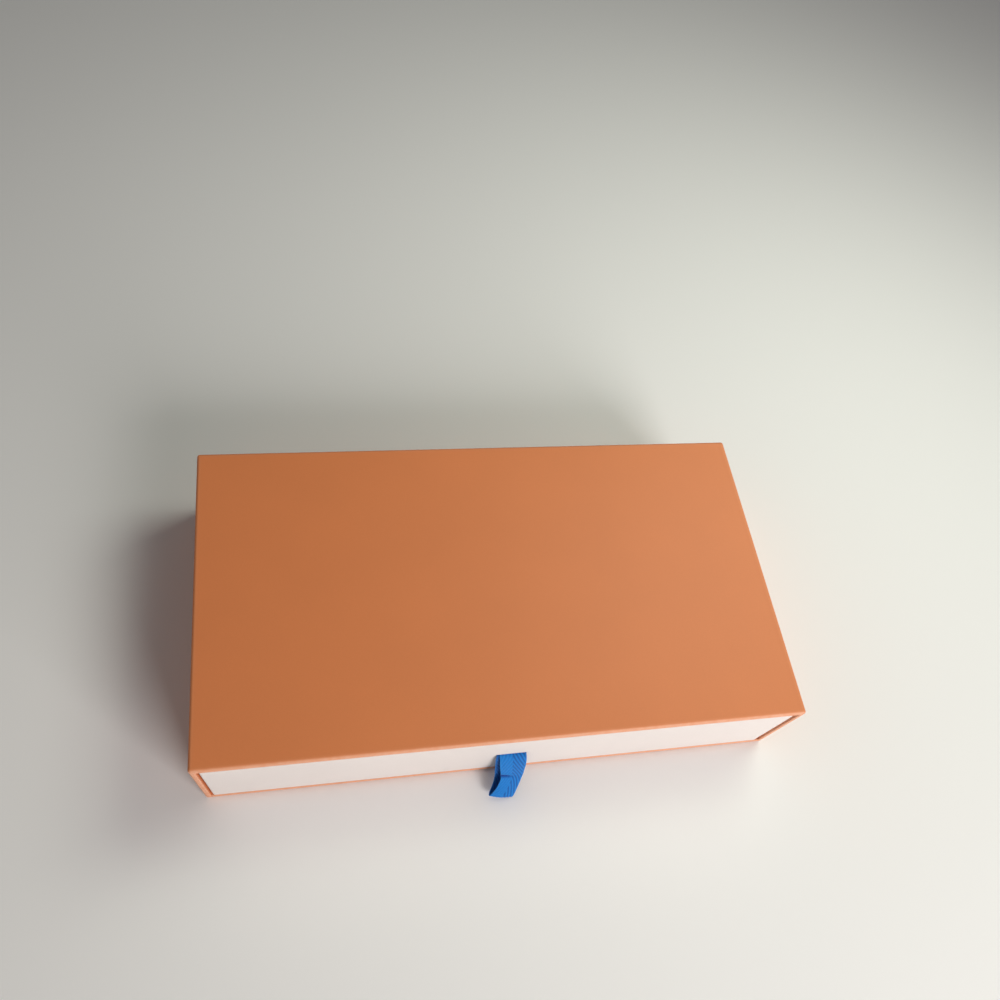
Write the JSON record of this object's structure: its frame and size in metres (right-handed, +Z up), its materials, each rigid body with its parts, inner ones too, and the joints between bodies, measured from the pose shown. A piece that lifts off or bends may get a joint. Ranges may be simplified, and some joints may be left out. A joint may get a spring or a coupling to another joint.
{
  "type": "drawer gift box",
  "caption": "Slim rigid slipcase gift box: a paper-covered board sleeve holding a shallow drawer that is pulled out by a doubled loop of woven tape in its front.",
  "frame": {"origin": "centre of the sleeve's underside, on the surface that the box rests on", "axes": "+Z up, -Y out of the sleeve's mouth, the way the drawer is pulled, +X to the right seen from the front"},
  "size_m": [0.24, 0.1466, 0.044],
  "materials": {
    "greyboard": "matt",
    "orange_paper": "matt, finely ribbed covering paper",
    "white_paper": "matt, finely ribbed covering paper",
    "stay_paper": "plain gummed paper",
    "lining_paper": "matt",
    "ribbon": "herringbone twill tape"
  },
  "bodies": {
    "sleeve": {"sleeve_top_board": "greyboard", "sleeve_base_board": "greyboard", "sleeve_left_board": "greyboard", "sleeve_right_board": "greyboard", "sleeve_back_board": "greyboard", "sleeve_corner_stays": "stay_paper", "sleeve_wrap": "orange_paper", "sleeve_base_sheet": "orange_paper", "sleeve_back_sheet": "orange_paper", "sleeve_lining": "lining_paper"},
    "drawer": {"drawer_base_board": "greyboard", "drawer_front_board": "greyboard", "drawer_back_board": "greyboard", "drawer_left_board": "greyboard", "drawer_right_board": "greyboard", "drawer_corner_stays": "stay_paper", "drawer_wrap": "white_paper", "drawer_base_sheet": "white_paper", "drawer_wall_lining": "lining_paper", "drawer_floor_card": "lining_paper", "ribbon_tails": "ribbon", "ribbon_patch": "stay_paper"},
    "pull": {"pull_loop": "ribbon"}
  },
  "joints": [
    {"name": "drawer_slide", "type": "slide", "parent": "sleeve", "child": "drawer", "axis": [0, -1, 0], "range_m": [0, 0.135]},
    {"name": "pull_flop", "type": "hinge", "parent": "drawer", "child": "pull", "pos_m": [0, -0.0679, 0.0236], "axis": [-1, 0, 0], "range_deg": [0, 120]}
  ]
}
